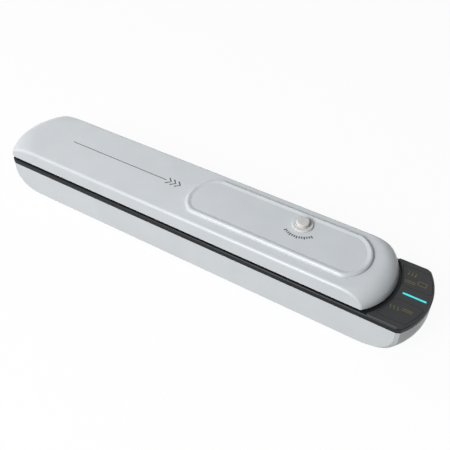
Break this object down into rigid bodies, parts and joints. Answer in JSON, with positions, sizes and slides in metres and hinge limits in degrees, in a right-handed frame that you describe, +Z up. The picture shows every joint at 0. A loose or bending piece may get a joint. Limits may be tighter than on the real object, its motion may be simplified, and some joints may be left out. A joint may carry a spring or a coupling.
{
  "type": "vacuum sealer",
  "caption": "Bar-shaped countertop vacuum sealer: hinged lid with a press-to-release valve over a heated sealing deck and vacuum trough, with push buttons and a light bar on a dark end panel.",
  "frame": {"origin": "on the table, under the middle of the body's plan", "axes": "+X along the body towards the control panel, -Y towards the open front, +Z up"},
  "size_m": [0.36, 0.0616, 0.0498],
  "materials": {
    "grey_shell": "satin moulded ABS",
    "light_liner": "fine moulded ABS",
    "dark_deck": "fine moulded ABS",
    "dark_panel": "satin",
    "dark_button": "satin",
    "cyan_light": "lit diffuser",
    "pale_silicone": "translucent silicone",
    "red_silicone": "matt silicone",
    "black_foam": "closed-cell foam",
    "foot_rubber": "matt",
    "bar_laminate": "phenolic laminate",
    "bright_steel": "plain",
    "brown_tape": "woven coated tape",
    "terminal_brass": "plain",
    "green_board": "solder mask",
    "dark_core": "ferrite",
    "can_aluminium": "sleeved",
    "blue_case": "moulded",
    "motor_steel": "plated"
  },
  "bodies": {
    "base": {"lower_housing": "grey_shell", "rubber_feet": "foot_rubber", "deck": "dark_deck", "hinge_pins": "bright_steel", "deck_gasket": "black_foam", "heater_bar": "bar_laminate", "heating_strip": "bright_steel", "ptfe_tape": "brown_tape", "heater_terminals": "terminal_brass", "case_screws": "bright_steel", "control_panel": "dark_panel", "light_bar": "cyan_light", "control_board": "green_board", "tact_switches": "dark_button", "indicator_leds": "cyan_light", "board_screws": "bright_steel", "pump_bracket": "dark_deck", "pump_motor": "motor_steel", "pump_housing": "light_liner", "pump_diaphragm": "black_foam", "pump_cover": "light_liner", "vacuum_hose": "pale_silicone", "power_board": "green_board", "transformer": "dark_core", "capacitors": "can_aluminium", "relay": "blue_case", "power_inlet": "dark_deck", "inlet_pins": "terminal_brass"},
    "lid": {"lid_shell": "grey_shell", "lid_liner": "light_liner", "lid_gasket": "black_foam", "pressure_strip": "red_silicone", "liner_screws": "bright_steel", "valve_seat": "pale_silicone"},
    "valve": {"release_valve": "pale_silicone"},
    "rear_button": {"vacuum_button": "dark_button"},
    "front_button": {"seal_button": "dark_button"},
    "pump_drive": {"motor_shaft": "bright_steel", "pump_eccentric": "terminal_brass"}
  },
  "joints": [
    {"name": "lid_hinge", "type": "hinge", "parent": "base", "child": "lid", "pos_m": [0, 0.028, 0.0309], "axis": [-1, 0, 0], "range_deg": [0, 70]},
    {"name": "valve_press", "type": "slide", "parent": "lid", "child": "valve", "axis": [0, 0, -1], "range_m": [0, 0.0018], "stiffness_N_per_m": 800},
    {"name": "vacuum_press", "type": "slide", "parent": "base", "child": "rear_button", "axis": [0, 0, -1], "range_m": [0, 0.0006], "stiffness_N_per_m": 2000},
    {"name": "seal_press", "type": "slide", "parent": "base", "child": "front_button", "axis": [0, 0, -1], "range_m": [0, 0.0006], "stiffness_N_per_m": 2000},
    {"name": "pump_spin", "type": "hinge", "parent": "base", "child": "pump_drive", "pos_m": [0.122, 0, 0.0142], "axis": [1, 0, 0], "continuous": true}
  ]
}
